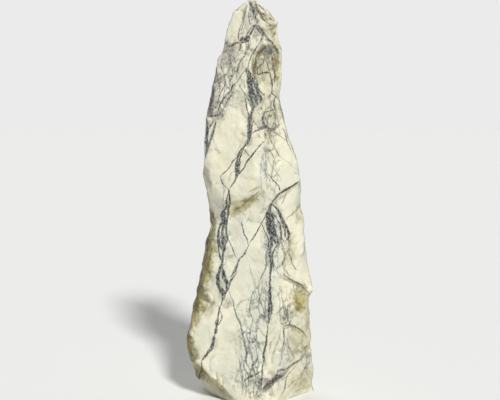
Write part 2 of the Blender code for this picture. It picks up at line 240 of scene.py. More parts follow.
def split_steps(mesh):
    """How far each vertex is set back by the steps and chips, in metres."""
    count = len(mesh.vertices)
    places = three_each(mesh.vertices, "co")
    normals = three_each(mesh.vertex_normals, "vector")
    lumps = [mathutils.noise.noise_vector(Vector(place) * WAVERS_PER_METRE) for place in places]
    waver = np.array(lumps) * WAVER
    set_back = np.zeros(count)
    flat = (places + waver)[:, [0, 2]]
    facing = np.clip(-normals[:, 1] / STEP_FACING, 0, 1)
    for depth, face, way_out, route in STEPS:
        corners = [np.array(on_stone(*pixel).xz) for pixel in route]
        lengths = [np.linalg.norm(q - p) for p, q in zip(corners, corners[1:])]
        nearest = np.full(count, np.inf)
        aside = np.zeros(count)
        along = np.zeros(count)
        for index, (p, q) in enumerate(zip(corners, corners[1:])):
            run = (q - p) / lengths[index]
            walked = np.clip((flat - p) @ run, 0, lengths[index])
            off = flat - p - walked[:, None] * run
            distance = np.linalg.norm(off, axis=1)
            closer = distance < nearest
            nearest[closer] = distance[closer]
            to_right = off @ np.array((run[1], -run[0]))
            aside[closer] = np.copysign(distance, to_right)[closer]
            along[closer] = (walked + sum(lengths[:index]))[closer]
        ends = np.sin(np.pi * np.clip(along / sum(lengths), 0, 1)) ** STEP_END_POWER
        set_back += depth * step_section(aside, face, way_out) * ends * facing
    random = np.random.default_rng(CHIP_SEED)
    stands_out = -depth_below_surroundings(mesh, ARRIS_PASSES)
    top = places[:, 2].max()
    for _ in range(CHIP_TRIES):
        draw = random.random(10)
        outside = Vector((math.cos(math.tau * draw[0]), math.sin(math.tau * draw[0]), 0.0))
        hit = skin.ray_cast(Vector((0.0, 0.0, top * draw[1])) + outside, -outside)[0]
        offset = places - np.array(hit or outside)
        start = np.argmin((offset ** 2).sum(axis=1))
        if hit is None or stands_out[start] + CHANCE_ON_FACES < SHARP_STANDS_OUT * draw[2]:
            continue
        out = normals[start]
        across = np.cross(out, draw[3:6] - 0.5)
        across /= np.linalg.norm(across)
        offset += waver
        length, bow, way_out, depth = (
            low + (high - low) * share
            for (low, high), share in zip((CHIP_HALF_LENGTH, CHIP_BOW, CHIP_WAY_OUT, CHIP_DEPTH), draw[6:])
        )
        u = offset @ across
        section = step_section(offset @ np.cross(out, across) + u ** 2 / bow, CHIP_FACE, way_out)
        near = np.clip(1 - (u / length) ** 2, 0, 1) * (np.abs(offset @ out) < length)
        near *= normals @ out > CHIP_SAME_WAY
        set_back += depth * section * near
    return set_back


set_back = split_steps(stone.data)
places = three_each(stone.data.vertices, "co")
outwards = three_each(stone.data.vertex_normals, "vector")
standing = np.clip((places[:, 2] - FOOT_KEPT) / (FOOT_PASSED - FOOT_KEPT), 0, 1)
places -= outwards * (set_back * standing)[:, None]
stone.data.vertices.foreach_set("co", places.ravel())
stone.data.update()

# The skin keeps a number for how far each spot lies below the skin around it. Weathering gathers in the dips
# and blows leave the arrises clean, and the material also uses this number to paint shade into the creases
# and a highlight onto the arrises
DIP_PASSES = 7
dip = stone.data.attributes.new("dip", "FLOAT", "POINT")
dip.data.foreach_set("value", depth_below_surroundings(stone.data, DIP_PASSES))

# How squarely each spot faces the front, over a few centimetres
FACING_PASSES = 60
outwards = three_each(stone.data.vertex_normals, "vector")
facing_front = stone.data.attributes.new("facing_front", "FLOAT", "POINT")
facing_front.data.foreach_set("value", -spread(stone.data, outwards, FACING_PASSES)[:, 1])

# Veins of the front
# Each vein is a sheet of darker mineral that runs back through the block, and shows as a line
# where the split cuts it. It is given by its half width in the photo's pixels, its strength and
# its route in pixels.

# Slate: graphite-dark veins, nearly black where thick
SLATE_VEINS = [
    # cleft of the crown
    (1.1, 0.90, [(249.4, 1), (251, 5.4), (252.8, 9.6), (254.4, 14)]),
    (0.7, 0.85, [(253.6, 12), (255.2, 17), (256.6, 21), (256.8, 25)]),
    (0.5, 0.75, [(247, 4), (246.4, 10), (244.4, 16), (243.6, 23), (241.4, 31)]),
    (0.5, 0.70, [(250.6, 8), (249, 14), (249.4, 20), (252.6, 26)]),
    # braid of the crown, from the arch down
    (2.2, 1.00, [(246.6, 67), (247.6, 72), (249.4, 78), (250.6, 84), (252, 90), (254, 96),
                 (256, 101), (257.5, 106)]),
    (1.4, 1.00, [(248, 69), (251, 76), (254, 82), (256.5, 88), (258, 94), (260.5, 99), (260.8, 104)]),
    (1.5, 0.95, [(250.5, 84), (251, 90), (250.4, 95), (251.2, 100), (252.6, 104), (254, 108)]),
    # braid of the cheek
    (1.3, 1.00, [(253.7, 105), (252.2, 111), (250.8, 117), (249.2, 123), (249.6, 130), (248.4, 137),
                 (246, 143), (243.4, 148)]),
    (1.4, 0.95, [(248.6, 112), (249.6, 119), (250.4, 126), (250.8, 132), (250, 137), (247, 143),
                 (244, 147)]),
    (0.9, 1.00, [(246.5, 141), (243.2, 147), (239.2, 153), (237.2, 159), (236.2, 166), (235.6, 173),
                 (236, 178)]),
    (0.9, 1.00, [(245.4, 144), (242.6, 150), (240.6, 156), (239, 162), (238.8, 168), (238.2, 173),
                 (236, 178)]),
    (1.0, 0.85, [(240.5, 156), (238.2, 162), (237.4, 168), (237, 174), (235.4, 180), (233.4, 184)]),
    # long left braid
    (1.0, 1.00, [(228.4, 189), (229.4, 194), (230, 199), (229.2, 205), (228, 211), (227.3, 218),
                 (226.2, 226)]),
    (1.1, 1.00, [(228.6, 193), (226.8, 200), (226.4, 206), (223.6, 211), (221.8, 215), (222.2, 221),
                 (220, 227)]),
    (1.1, 0.95, [(226, 208), (224.2, 214), (224.4, 220), (223.2, 226), (222.4, 232), (224.6, 238),
                 (226.4, 243)]),
    (1.1, 1.00, [(221.6, 221), (219.4, 228), (218.3, 236), (218.8, 243), (221, 248), (223, 254),
                 (221.8, 262)]),
    (1.1, 1.00, [(226.2, 224), (226.6, 232), (227, 240), (225.2, 246), (223.4, 252), (222.4, 259),
                 (221, 266)]),
    (1.5, 0.85, [(221, 234), (222.6, 239), (223, 244), (222.6, 250)]),
    (0.8, 0.90, [(218.6, 244), (218, 250), (219.6, 256), (221.2, 262), (221.4, 268)]),
    (1.5, 1.00, [(221.4, 262), (220, 269), (218.4, 276), (218.2, 283), (220.4, 289), (222.6, 295),
                 (223, 301)]),
    (1.2, 1.00, [(221.6, 266), (222.8, 272), (224.8, 277), (228, 283), (229.6, 287)]),
    (0.9, 0.90, [(221.8, 272), (223.6, 278), (226.4, 283), (226.8, 289), (224.6, 295), (223.2, 300)]),
    (1.6, 0.95, [(220, 285), (222, 290), (223.4, 295), (223.2, 301)]),
    (0.9, 0.95, [(233.4, 277), (230.6, 282), (229, 287), (226.6, 291), (225, 296)]),
    # lower left tail
    (0.8, 0.90, [(223, 299), (221.4, 304), (219.2, 309), (218.2, 314), (217.6, 320), (216.4, 326)]),
    (0.7, 0.85, [(218.4, 310), (221.4, 315), (221.6, 319), (219, 324), (217, 327)]),
    (1.3, 1.00, [(217.8, 318), (216.6, 324), (216, 330), (214.6, 336)]),
    (1.3, 0.95, [(215, 334), (213.4, 341), (211.4, 347), (207.4, 353), (203.6, 359), (201.4, 363)]),
    (0.7, 1.00, [(201.2, 361), (202.2, 366), (201.6, 371), (200, 376), (199.2, 380)]),
    # crack from the right edge, and the wide right braid
    (1.0, 1.00, [(299, 182), (292.4, 186), (285.6, 189.6), (280, 194), (276, 197.4), (272.4, 200.4)]),
    (1.4, 1.00, [(272.8, 199), (271.4, 203), (269.8, 209), (267.8, 214), (267, 219)]),
    (1.8, 0.95, [(270.6, 205), (270.4, 212), (270.4, 219), (271, 226), (271.8, 232), (273.4, 238),
                 (275.8, 244)]),
    (1.3, 0.95, [(268, 215), (269.2, 222), (269.4, 229), (270.8, 236), (271.8, 242), (270.8, 248)]),
    (1.2, 0.95, [(272, 213), (273, 220), (273.4, 227), (274.8, 233), (277.6, 240), (277, 246)]),
    (1.1, 0.95, [(266.6, 219), (267.8, 225), (268.6, 231), (272, 238), (275.6, 243), (276.4, 248)]),
    (1.1, 1.00, [(271.4, 203), (275.6, 207), (279.2, 212), (281.6, 218), (284.4, 224), (287.2, 229),
                 (288.8, 234), (287.2, 239), (284.6, 242)]),
    (0.7, 0.95, [(273.6, 213), (277, 219), (279.8, 224), (281.2, 230), (281.4, 236), (284.6, 242)]),
    (0.6, 0.80, [(280, 222), (283.6, 227), (285.4, 232), (284.4, 238)]),
    (1.0, 0.95, [(270.8, 245), (269.8, 251), (270.4, 258), (271, 265), (270.4, 272), (270.4, 280),
                 (270.2, 288)]),
    (0.8, 0.85, [(276, 245), (273.4, 251), (272, 257), (272.2, 264), (274, 270)]),
    (1.2, 1.00, [(270.6, 278), (269.8, 286), (270, 294), (270.4, 301), (269, 309), (268.8, 317),
                 (268.2, 325)]),
    (0.7, 0.90, [(271.4, 300), (271.6, 308), (270.6, 315), (269, 321)]),
    (0.9, 0.95, [(268.4, 322), (267.6, 331), (266.4, 340), (265, 348), (263.8, 356), (263.2, 364),
                 (262.6, 372)]),
    (0.9, 0.80, [(262.8, 368), (261.6, 376), (260.6, 384), (260.2, 392)]),
    # single lines of the front
    (0.55, 1.00, [(266.4, 141), (262, 143.4), (258.2, 147), (254.6, 152), (250.4, 157), (246, 163),
                  (244, 168), (240, 173), (236.4, 178)]),
    (0.55, 0.85, [(236.4, 177), (234.4, 181.4), (231.6, 185.6), (229.2, 189)]),
    (0.45, 0.75, [(244, 149), (246.8, 153), (249.8, 157)]),
    (0.45, 0.85, [(240, 154), (234.4, 159.6), (230, 166), (224.4, 172), (220.4, 178)]),
    (0.45, 0.80, [(220.2, 177), (221.8, 182), (225, 186), (227.6, 189), (229.6, 191)]),
    (0.45, 0.95, [(268.4, 173.4), (273.6, 180), (277, 183.6), (279.4, 187), (280.6, 191)]),
    (0.55, 0.90, [(241, 222), (242.4, 228), (243.8, 233), (246.6, 238), (248.2, 243), (248.4, 246)]),
    (0.60, 0.90, [(267.6, 214), (264, 219.6), (261.2, 224), (258, 229.6), (255, 235), (251.6, 241),
                  (248.6, 246)]),
    (0.85, 0.80, [(249.4, 245), (246.6, 250), (243.4, 255), (239.6, 259), (238, 263), (235.6, 268),
                  (233, 273), (230.4, 278)]),
    (0.50, 0.70, [(236.4, 270), (234.4, 275), (232.2, 280), (230.8, 284)]),
    (0.50, 0.85, [(227.4, 239), (230.4, 243), (232.4, 248), (233.8, 253), (236, 256.6), (238.6, 259)]),
    (0.60, 0.85, [(261.2, 223), (263.4, 228), (265.6, 233), (268, 239), (268.8, 245), (268.4, 251)]),
    (0.60, 0.70, [(268.6, 246), (267.2, 252), (266.4, 258), (266.6, 265), (264.4, 271),
                  (261.6, 277), (258, 283)]),
    (0.50, 0.90, [(287.8, 253), (291, 259), (294, 265), (296.6, 270.4)]),
    # network of the upper right
    (0.55, 0.95, [(262, 40), (258.6, 44.4), (254.6, 50), (251.4, 56), (248.6, 62), (247.2, 68)]),
    (0.55, 0.90, [(257.8, 75), (263.8, 73.6), (268.6, 72.6), (270.8, 76)]),
    (0.55, 0.95, [(269.4, 72), (271, 77), (272.2, 83), (272, 89), (271.2, 93), (269, 96), (266.8, 98)]),
    (0.50, 0.85, [(257.2, 76), (257.6, 83), (259, 90), (262, 94), (265.4, 97)]),
    (0.50, 0.90, [(271, 92.4), (273.6, 94.6), (276.2, 97), (278, 99)]),
    (0.55, 0.85, [(276.4, 96), (274.2, 101), (274.4, 107), (275.6, 112)]),
    (0.45, 0.80, [(266.4, 111.6), (269.6, 110.6), (272.4, 110), (275, 109)]),
    (0.60, 0.85, [(266.6, 111), (263.6, 115.6), (262.8, 120), (264, 125), (266, 128)]),
    (0.50, 0.70, [(272.4, 110), (274.8, 115), (275.6, 121), (273.4, 127)]),
    (0.60, 0.90, [(260.8, 129), (257, 130.4), (254, 132), (251.6, 135.6)]),
    (0.50, 0.75, [(265.2, 130), (266, 135), (266.2, 140)]),
    (0.45, 0.65, [(267, 129), (269, 134), (271, 139.6), (274, 146), (279.4, 156)]),
    (0.50, 0.75, [(282.4, 127), (284.2, 132), (285.8, 137), (288.4, 145), (291.4, 151)]),
    # edge of the left cheek
    (1.10, 0.85, [(206.4, 118), (206.6, 125), (207, 132), (206.8, 139), (206.4, 146), (205.8, 152)]),
    (0.60, 0.90, [(213, 120), (210.4, 124.6), (207.2, 129.4)]),
    (0.80, 0.85, [(215.6, 121), (214.6, 127), (212.6, 134), (210, 141), (207.4, 149), (204.6, 157),
                  (202.6, 163)]),
    # double line of the upper left
    (0.65, 0.85, [(239.8, 79), (236, 82.6), (232.8, 86.6), (229, 92), (225.4, 97), (221.8, 102),
                  (218.8, 107.6), (217.4, 113)]),
    (0.55, 0.75, [(236.6, 84.6), (232.6, 91), (230, 97), (228, 102.4), (224, 107.6), (220.6, 112)]),
    (0.50, 0.75, [(247.2, 68.6), (243.4, 73), (239.6, 78), (236.4, 82)]),
    (0.50, 0.70, [(225.8, 81), (223.6, 86), (221.8, 90), (220, 96), (218, 103)]),
    (0.50, 0.80, [(243.6, 95), (245.8, 101), (247.2, 108), (248.6, 115)]),
    (0.45, 0.75, [(244.6, 94), (248, 99.6), (250.8, 105.6), (252.2, 109)]),
    (0.45, 0.75, [(239, 86.4), (242.4, 90.4), (245.2, 95), (247.6, 99.6)]),
]

# Umber: the same veins where iron has browned them, and brown lines of painted shadow under the middle ledge
# and the steps of the foot
UMBER_VEINS_AND_LEDGE_SHADE = [
    # The first two lines run under and along the middle ledge: painted ledge shadow, not veins
    (0.9, 0.55, [(234.6, 210.4), (240, 207.6), (245.4, 203.4), (250, 199.4), (254.8, 195), (260, 191.6)]),
    (0.6, 0.45, [(247, 193), (251, 190.6), (255.4, 188.4), (259.6, 187)]),
    (0.9, 0.95, [(255.2, 1), (256.2, 6), (258.8, 11), (261.4, 16), (263.6, 20.4), (268.4, 23),
                 (274, 25.6)]),
    (0.6, 0.85, [(257, 4.6), (261.4, 7), (265.4, 11), (267.6, 15.4)]),
    (0.6, 0.80, [(259.4, 14.6), (262.4, 13.4), (265.6, 15), (266.4, 19)]),
    (0.5, 0.80, [(268.6, 17.6), (271.6, 19), (274, 21.6)]),
    (0.7, 0.75, [(276.4, 27), (276, 31), (274.4, 35), (271.6, 38)]),
    (1.6, 0.95, [(266, 46.6), (262.6, 49.4), (259.6, 52), (257, 54.6), (255, 57.4)]),
    (0.7, 0.85, [(265.4, 47), (268.6, 49.6), (271.2, 52.4), (272.4, 57), (272.8, 63), (274, 69),
                 (274.4, 76), (274.2, 84)]),
    (0.5, 0.75, [(261.4, 51), (263.6, 55), (265.2, 59), (267.2, 64), (269, 69.6), (270.6, 75)]),
    (0.5, 0.80, [(265.2, 61), (262, 63.8), (259.6, 66), (257.6, 68)]),
    (0.7, 0.85, [(257.8, 67), (257.2, 71.6), (258.4, 75.6)]),
    (1.2, 0.85, [(255.4, 56), (256, 61), (254.4, 66), (253.8, 71), (254.6, 76), (256.8, 80)]),
    (0.7, 0.85, [(282.4, 274.6), (286.8, 276.6), (290.6, 279.2), (295, 281.4), (299, 283),
                 (303, 287), (307, 291), (310, 293.4)]),
    (0.6, 0.60, [(293.6, 283), (293.4, 287.6), (294.6, 292.4)]),
    (0.5, 0.60, [(294.4, 292.6), (298, 292.4), (302, 291.4)]),
    (0.6, 0.70, [(284.8, 242), (282, 246), (283.8, 252), (284.8, 257), (283, 264), (286, 271),
                 (290.4, 277)]),
    (0.7, 0.85, [(284, 326.4), (289, 325.4), (294, 325.8), (299, 329), (303.6, 333.4), (307.8, 337.6)]),
    (0.8, 0.55, [(281.6, 297), (284.6, 304), (286.6, 311), (287.4, 318), (285.4, 325)]),
    (0.6, 0.85, [(284.4, 327), (284, 333), (283.8, 339), (282.8, 345)]),
    # Painted shadow under the step of the right foot
    (0.7, 0.85, [(307.8, 346), (303.6, 349), (303.4, 354), (301, 359), (296.6, 362), (291.6, 365),
                 (287.2, 368.4), (281, 371)]),
    (0.5, 0.70, [(299.6, 362), (294, 368.6), (289, 375), (286, 381), (284, 389), (281, 397)]),
    (0.5, 0.65, [(304.4, 374.4), (299, 378), (294.8, 381), (290, 384.4), (286.4, 388)]),
    (0.4, 0.55, [(302, 364), (304.6, 367.4), (307.2, 369.6), (309, 364)]),
    # Painted shadow under the step of the foot
    (0.8, 0.95, [(263.4, 370.4), (259.6, 372.4), (255.6, 374.8), (250, 377.4), (243.4, 380.2)]),
    (0.5, 0.60, [(286.8, 190.6), (285, 196), (282.4, 201), (280.4, 206)]),
    (0.6, 0.55, [(299.8, 205.6), (295, 211.6), (290, 215.6), (285.6, 220)]),
]

# Plum: purple veins, stained by manganese and iron
PLUM_VEINS = [
    (1.5, 1.00, [(256, 25.4), (253, 28), (251, 32), (250, 36), (248.4, 38.6), (244.4, 40),
                 (241.6, 38.6), (239.6, 42)]),
    (0.7, 0.90, [(248.2, 38.4), (246.2, 41.6), (243.4, 42.2), (240.4, 42)]),
    (0.8, 0.80, [(239.8, 42), (234.6, 44), (230.6, 46), (226.6, 44.6)]),
    (2.0, 1.00, [(256, 25.4), (259.4, 29), (262.6, 33.2), (265.4, 35.8)]),
    (0.9, 0.85, [(263, 33), (262.6, 37), (260.4, 41)]),
    (1.1, 0.90, [(265, 35.4), (269, 39.6), (272, 43.4), (274.4, 46), (276.8, 50), (278.6, 54)]),
    (0.5, 0.80, [(243.8, 14), (242.8, 19), (241.6, 24), (239.8, 30), (238.4, 35.6), (239, 41)]),
    (0.5, 0.75, [(251.2, 27), (248, 32), (246.2, 36), (244.6, 40)]),
    (0.5, 0.75, [(240.4, 43), (239, 49.6), (237, 53.4)]),
    (0.5, 0.75, [(251, 39), (249.2, 46), (247.2, 50), (244.6, 55.6), (241, 61), (237.8, 66.6),
                 (237, 73), (236.8, 79)]),
    (1.2, 0.75, [(252.4, 120.4), (256.2, 124), (260.6, 128.4), (265.4, 127.2), (270.2, 129.8),
                 (275.4, 128), (280.6, 124)]),
    (0.5, 0.60, [(270, 129.8), (274, 132.4), (278, 135), (285.6, 140.6)]),
    (2.0, 0.90, [(261, 391), (265, 387), (269.4, 383), (273.6, 380), (278, 377.6), (283, 376)]),
    (1.2, 0.70, [(276.8, 373), (280.8, 370.6), (285, 369.6)]),
    (1.2, 0.75, [(217.4, 67), (215.6, 73), (213.8, 79), (213, 85)]),
    (1.6, 0.60, [(213.6, 88), (212, 98), (210.6, 108), (208, 115)]),
    (1.1, 0.70, [(206, 116), (211, 116.4), (216, 115.6), (220, 114.4)]),
]

# Blue grey: fine, half-buried veins that show pale through the marble
MIST_VEINS = [
    (0.7, 0.80, [(228, 291), (230.6, 295.6), (232.4, 300), (234, 307), (236, 313.4), (238.2, 320),
                 (242.2, 331), (245.6, 344), (246.4, 357)]),
    (0.6, 0.75, [(257.4, 277), (259.2, 284), (256.4, 289), (253, 293.4), (251, 302), (250.4, 312),
                 (252.8, 320), (250.8, 329), (249.8, 341)]),
    (0.6, 0.75, [(258.2, 287), (259, 293), (259.6, 300), (263, 308), (264.6, 318), (267.4, 326)]),
    (0.5, 0.60, [(272.4, 286), (275.4, 290), (278.8, 294), (280, 302), (280.4, 310), (281, 321),
                 (284.4, 326)]),
    (0.5, 0.60, [(248.6, 311), (250.6, 318), (254, 322), (257.4, 320)]),
    (0.5, 0.60, [(253, 320), (257.6, 326), (261.6, 332), (265.4, 338)]),
    (0.5, 0.45, [(249.8, 264), (251.2, 271), (252.8, 277), (255, 284)]),
    (0.6, 0.75, [(244, 331), (244.4, 342), (246.2, 357), (244.6, 367), (247.8, 374), (249, 384)]),
    (0.6, 0.75, [(250.6, 331), (249.6, 346), (251.4, 357), (254, 369), (254.6, 380)]),
    (0.5, 0.65, [(252.4, 332), (254.6, 339), (258.6, 344.4), (260.4, 349), (262.2, 353)]),
    (0.5, 0.60, [(247.8, 341), (252.8, 347), (256, 352)]),
    (0.6, 0.70, [(238.8, 357), (240.4, 365), (241.6, 373), (242.4, 384), (241.6, 396)]),
    (0.5, 0.60, [(247, 371), (245, 380), (246.4, 389), (245.2, 397)]),
    (0.5, 0.60, [(256, 362), (253.6, 371), (255.8, 380), (254, 390), (255, 398)]),
    (0.5, 0.60, [(249, 349), (252.6, 360), (257.4, 371), (259.4, 383), (257.6, 395)]),
    (0.5, 0.55, [(260, 350), (256.4, 360), (251, 371), (248.6, 383), (250.6, 396)]),
    (0.6, 0.70, [(283.8, 334), (282.8, 347), (281, 359.6), (278.6, 368)]),
    (0.5, 0.60, [(287.2, 336), (288.8, 346), (291.6, 353), (294.4, 360)]),
    (0.5, 0.45, [(261, 150), (260.8, 160), (261.2, 171), (261.4, 182), (262, 193)]),
    (0.4, 0.45, [(261, 151), (263.2, 162), (265.8, 173), (267.4, 183), (267, 191)]),
    (0.4, 0.40, [(265, 153), (270.6, 164), (275.4, 172), (281, 179)]),
    (0.4, 0.45, [(272.2, 185), (274.2, 190), (275.8, 196)]),
    (0.4, 0.40, [(273, 146), (279.4, 156), (286, 161), (293, 166), (297, 171)]),
    (0.6, 0.55, [(243.6, 79), (244.2, 84), (244.4, 89)]),
    (0.5, 0.50, [(222.4, 181), (224, 190), (223, 200), (219, 208)]),
]

# Stains and clouds, as the pixel of the middle, the half width and half height in pixels, the
# lean in degrees and the strength
PLUM_CLOUDS = [
    (228, 56, 9, 14, -10, 0.95), (217, 80, 8, 8, 0, 0.95), (213.6, 89, 5, 7, 0, 0.95),
    (211, 107, 7, 13, -12, 1.00), (219, 114, 7, 6, 0, 1.00), (240, 100, 10, 10, 0, 0.30),
    (258, 30, 6, 6, 0, 0.65), (261, 124, 8, 5, 30, 0.55), (227.5, 303, 5, 6, -20, 0.65),
    (273, 380, 14, 5, 28, 0.85), (214, 343, 4, 7, 10, 0.40), (286, 315, 5, 9, -10, 0.45),
    (282, 243, 6, 6, 0, 0.35), (238, 70, 10, 12, 0, 0.30), (258, 397, 6, 4, 0, 0.70),
    (247, 18, 7, 12, 0, 0.15),
]
SLATE_CLOUDS = [
    (252, 84, 4, 14, -14, 0.60), (256, 99, 6, 9, -12, 0.85), (249, 128, 3, 14, 4, 0.50),
    (238, 163, 2.6, 14, 12, 0.40), (223, 232, 5, 22, 0, 0.36), (221, 284, 5, 12, -8, 0.42),
    (271, 227, 6, 20, -8, 0.62), (279, 226, 6, 14, -20, 0.30), (272, 252, 4, 12, 0, 0.34),
    (253, 9, 4, 8, 0, 0.40), (209, 106, 4, 12, -8, 0.60), (268, 50, 8, 7, -30, 1.00),
    (262, 66, 8, 16, 0, 0.25), (257, 384, 9, 12, 0, 0.30), (206.8, 134, 2, 12, 0, 0.45),
    (228, 47, 5, 4, 0, 0.40), (270, 305, 3, 14, 0, 0.30), (282, 378, 6, 6, 0, 0.30),
]
# The clouds on the shoulder's underside at (216, 195) and on the undercut foot at (225, 374) are painted
# shade on faces that look down
MIST_CLOUDS = [
    (251, 355, 12, 38, 4, 0.50), (272, 250, 10, 50, 0, 0.55), (222, 235, 9, 42, 0, 0.45),
    (264, 165, 5, 30, -6, 0.50), (242, 230, 14, 24, 0, 0.40), (216, 195, 10, 18, 20, 0.25),
    (268, 118, 12, 18, 0, 0.45), (226, 86, 14, 22, 20, 0.35), (258, 300, 14, 26, 0, 0.35),
    (283, 360, 10, 22, 0, 0.45), (207, 130, 5, 20, 0, 0.50), (225, 374, 20, 9, -35, 0.35),
    (250, 20, 8, 22, 0, 0.10), (306, 360, 8, 14, 0, 0.50), (240, 255, 10, 30, 30, 0.30),
]
# Olive: weathering stains, which also stand in for the shade on the left flank and its rim, the undercut
# foot, the right foot and the underside of the middle ledge, so painted shade as well as stain
OLIVE_STAINS_AND_SHADE = [
    (244, 205, 17, 5, 29, 0.68), (256, 189, 7, 2.4, 25, 0.30), (209, 214, 6, 8, 20, 1.00),
    (208, 228, 8, 14, -4, 1.00), (206, 244, 10, 14, -8, 1.00), (204, 260, 11, 15, -12, 1.00),
    (201, 274, 9.5, 14, -16, 1.00), (198, 288, 11, 12, -16, 1.00), (195, 302, 11, 13, -12, 1.00),
    (192, 316, 6, 12, -4, 0.90), (188, 342, 7, 22, 10, 1.00), (199, 372, 10, 10, 0, 0.90),
    (214, 384, 20, 6, -38, 0.50), (268, 17, 9, 10, -30, 0.22), (272, 30, 7, 12, 0, 0.26),
    (276, 62, 4, 22, 0, 0.65), (254, 66, 2.6, 14, 0, 0.80), (300, 300, 10, 14, 0, 0.75),
    (190, 352, 12, 14, 0, 0.40), (262, 68, 9, 18, 0, 0.34), (268, 52, 8, 8, -30, 0.80),
    (270, 120, 10, 30, 0, 0.25), (298, 342, 12, 18, 0, 0.35), (302, 380, 14, 14, 0, 0.32),
    (264, 100, 14, 50, 0, 0.15), (263, 50, 7, 4, 30, 0.60), (270, 140, 5, 6, 0, 0.25),
    (291, 250, 6, 16, 0, 0.30), (308, 330, 5, 30, 0, 0.30), (232, 203, 5, 8, 0, 0.35),
    (300, 215, 6, 8, 0, 0.30),
]
RUST_STAINS = [
    (265, 17, 3, 4, 0, 0.90), (271, 25, 5, 1.6, 15, 0.90), (258, 21, 1.6, 1.6, 0, 0.90),
    (199, 286, 6, 6, -20, 1.00), (195, 304, 6, 12, -14, 0.80), (209, 215, 5, 6, 20, 0.80),
    (261, 53, 6, 4, 30, 0.60), (272, 375, 5, 4, 0, 0.40), (276, 60, 2.4, 12, 0, 0.60),
    (190, 340, 3, 12, 10, 0.50), (197, 373, 6, 6, 0, 0.70), (204, 244, 5, 26, -8, 0.80),
    (198, 272, 5, 18, -14, 0.80), (191, 300, 5, 14, -14, 0.80), (256, 9, 2, 7, 30, 0.80),
]
# Zones where hairlines mesh together, given in the same way
HAIRLINE_ZONES = [
    (226, 84, 13, 36, -16, 1.00), (212, 104, 7, 14, -10, 0.90), (268, 118, 12, 24, 0, 1.00),
    (266, 62, 11, 20, 0, 0.80), (246, 44, 14, 14, 0, 0.80), (252, 12, 6, 12, 0, 1.00),
    (210, 134, 5, 20, 0, 0.75), (270, 166, 9, 26, 10, 0.75), (273, 238, 10, 36, 6, 1.00),
    (223, 246, 5, 36, 0, 0.75), (284, 250, 7, 22, 0, 0.90), (251, 350, 13, 46, 0, 1.00),
    (262, 305, 14, 26, 0, 0.90), (286, 312, 7, 24, 14, 1.00), (286, 352, 9, 20, 0, 0.60),
    (305, 364, 7, 16, 0, 0.80), (272, 384, 15, 9, 25, 0.95), (256, 386, 12, 14, 0, 0.95),
    (298, 288, 8, 7, 0, 0.70), (222, 290, 5, 16, 0, 0.70), (240, 380, 8, 16, 0, 0.60),
]


def linear(hex_colour):
    """An sRGB hex colour as linear red, green, blue and alpha."""
    parts = [int(hex_colour[i:i + 2], 16) / 255 for i in (1, 3, 5)]
    return (*[p / 12.92 if p <= 0.04045 else ((p + 0.055) / 1.055) ** 2.4 for p in parts], 1.0)


def add_node(tree, kind, inputs=None, **settings):
    """Adds a node, sets it up, and links or fills its inputs. A node, a socket or a plain value all
    do, and a node stands for the first output that it has in use."""
    node = tree.nodes.new("ShaderNode" + kind)
    for key, value in settings.items():
        setattr(node, key, value)
    for key, value in (inputs or {}).items():
        if isinstance(value, bpy.types.Node):
            value = next(output for output in value.outputs if output.enabled)
        if isinstance(value, bpy.types.NodeSocket):
            tree.links.new(value, node.inputs[key])
        else:
            node.inputs[key].default_value = value
    return node


# A soft fade is a Map Range with these settings. Its inputs are the value, where it is full, where
# it is gone, 1 and 0.
SOFT = {"interpolation_type": "SMOOTHSTEP", "clamp": False}


def new_group(name, inputs, output):
    """An empty node group with these input sockets and one value out."""
    tree = bpy.data.node_groups.new(name, "ShaderNodeTree")
    for socket, kind in inputs.items():
        tree.interface.new_socket(socket, in_out="INPUT", socket_type="NodeSocket" + kind)
    tree.interface.new_socket(output, in_out="OUTPUT", socket_type="NodeSocketFloat")
    return tree, tree.nodes.new("NodeGroupInput").outputs, tree.nodes.new("NodeGroupOutput").inputs[output]


def vein_profile():
    """The shared cross-section of a vein: dark in the middle, soft at the edge, and the darker of
    this vein and those before it wins."""
    tree, given, result = new_group(
        "vein_profile",
        {"Route": "Color", "Aside": "Float", "Low": "Float", "Span": "Float", "Half Width": "Float",
         "Thickness": "Float", "Strength": "Float", "Darkest": "Float"},
        "Dark",
    )
    parts = add_node(tree, "SeparateColor", {"Color": given["Route"]}).outputs
    middle = add_node(
        tree, "Math", {0: parts["Red"], 1: given["Span"], 2: given["Low"]}, operation="MULTIPLY_ADD"
    )
    off = add_node(tree, "Math", {0: given["Aside"], 1: middle}, operation="SUBTRACT")
    off = add_node(tree, "Math", {0: off}, operation="ABSOLUTE")
    wide = add_node(tree, "Math", {0: parts["Green"], 1: given["Half Width"]}, operation="MULTIPLY")
    wide = add_node(tree, "Math", {0: wide, 1: given["Thickness"]}, operation="MULTIPLY")
    off = add_node(tree, "Math", {0: off, 1: wide}, operation="DIVIDE")
    dark = add_node(tree, "MapRange", {0: off, 1: 0.55, 2: 1.5, 3: 1.0, 4: 0.0}, **SOFT)
    dark = add_node(tree, "Math", {0: dark, 1: parts["Blue"]}, operation="MULTIPLY")
    dark = add_node(tree, "Math", {0: dark, 1: given["Strength"]}, operation="MULTIPLY")
    dark = add_node(tree, "Math", {0: dark, 1: given["Darkest"]}, operation="MAXIMUM")
    tree.links.new(dark.outputs[0], result)
    return tree


# Along a vein's run from 0 to 1: how much of its width it keeps, and whether it is there at all
TAPER = [(0.0, 0.35), (0.25, 0.9), (0.5, 1.0), (0.75, 0.9), (1.0, 0.35)]
PRESENCE = [(0.0, 0.0), (0.04, 1.0), (0.96, 1.0), (1.0, 0.0)]


